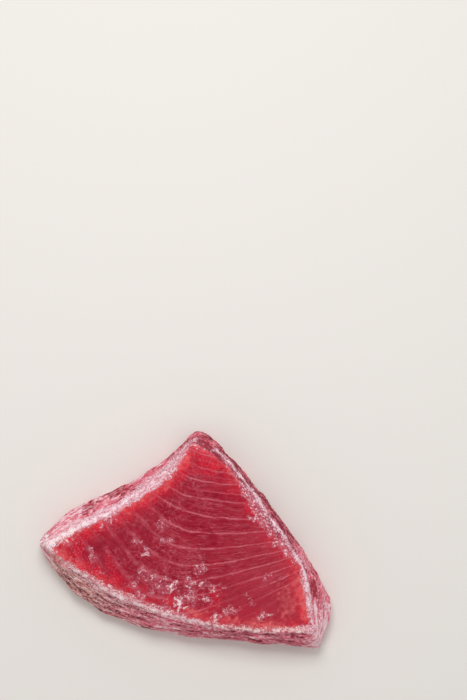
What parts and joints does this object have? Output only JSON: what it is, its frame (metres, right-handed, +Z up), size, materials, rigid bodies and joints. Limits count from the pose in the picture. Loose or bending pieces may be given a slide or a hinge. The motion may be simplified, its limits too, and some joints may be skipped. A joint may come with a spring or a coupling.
{
  "type": "raw tuna steak",
  "caption": "Raw tuna steak: a frozen slab of red tuna loin with a level cut face, a frosted bevel round its rim, and craggy layered sides.",
  "frame": {"origin": "on the surface that the steak rests on, under the middle of its box", "axes": "+X from the sharp tip towards the short end, seen with the cut face up; +Y towards the pointed back corner; +Z up, out of the cut face"},
  "size_m": [0.1452, 0.108, 0.0234],
  "materials": {
    "tuna_flesh": "moist frozen flesh, satin",
    "frost": "fine ice crystals, matte"
  },
  "bodies": {
    "root": {"tuna_steak": "tuna_flesh"}
  },
  "joints": []
}
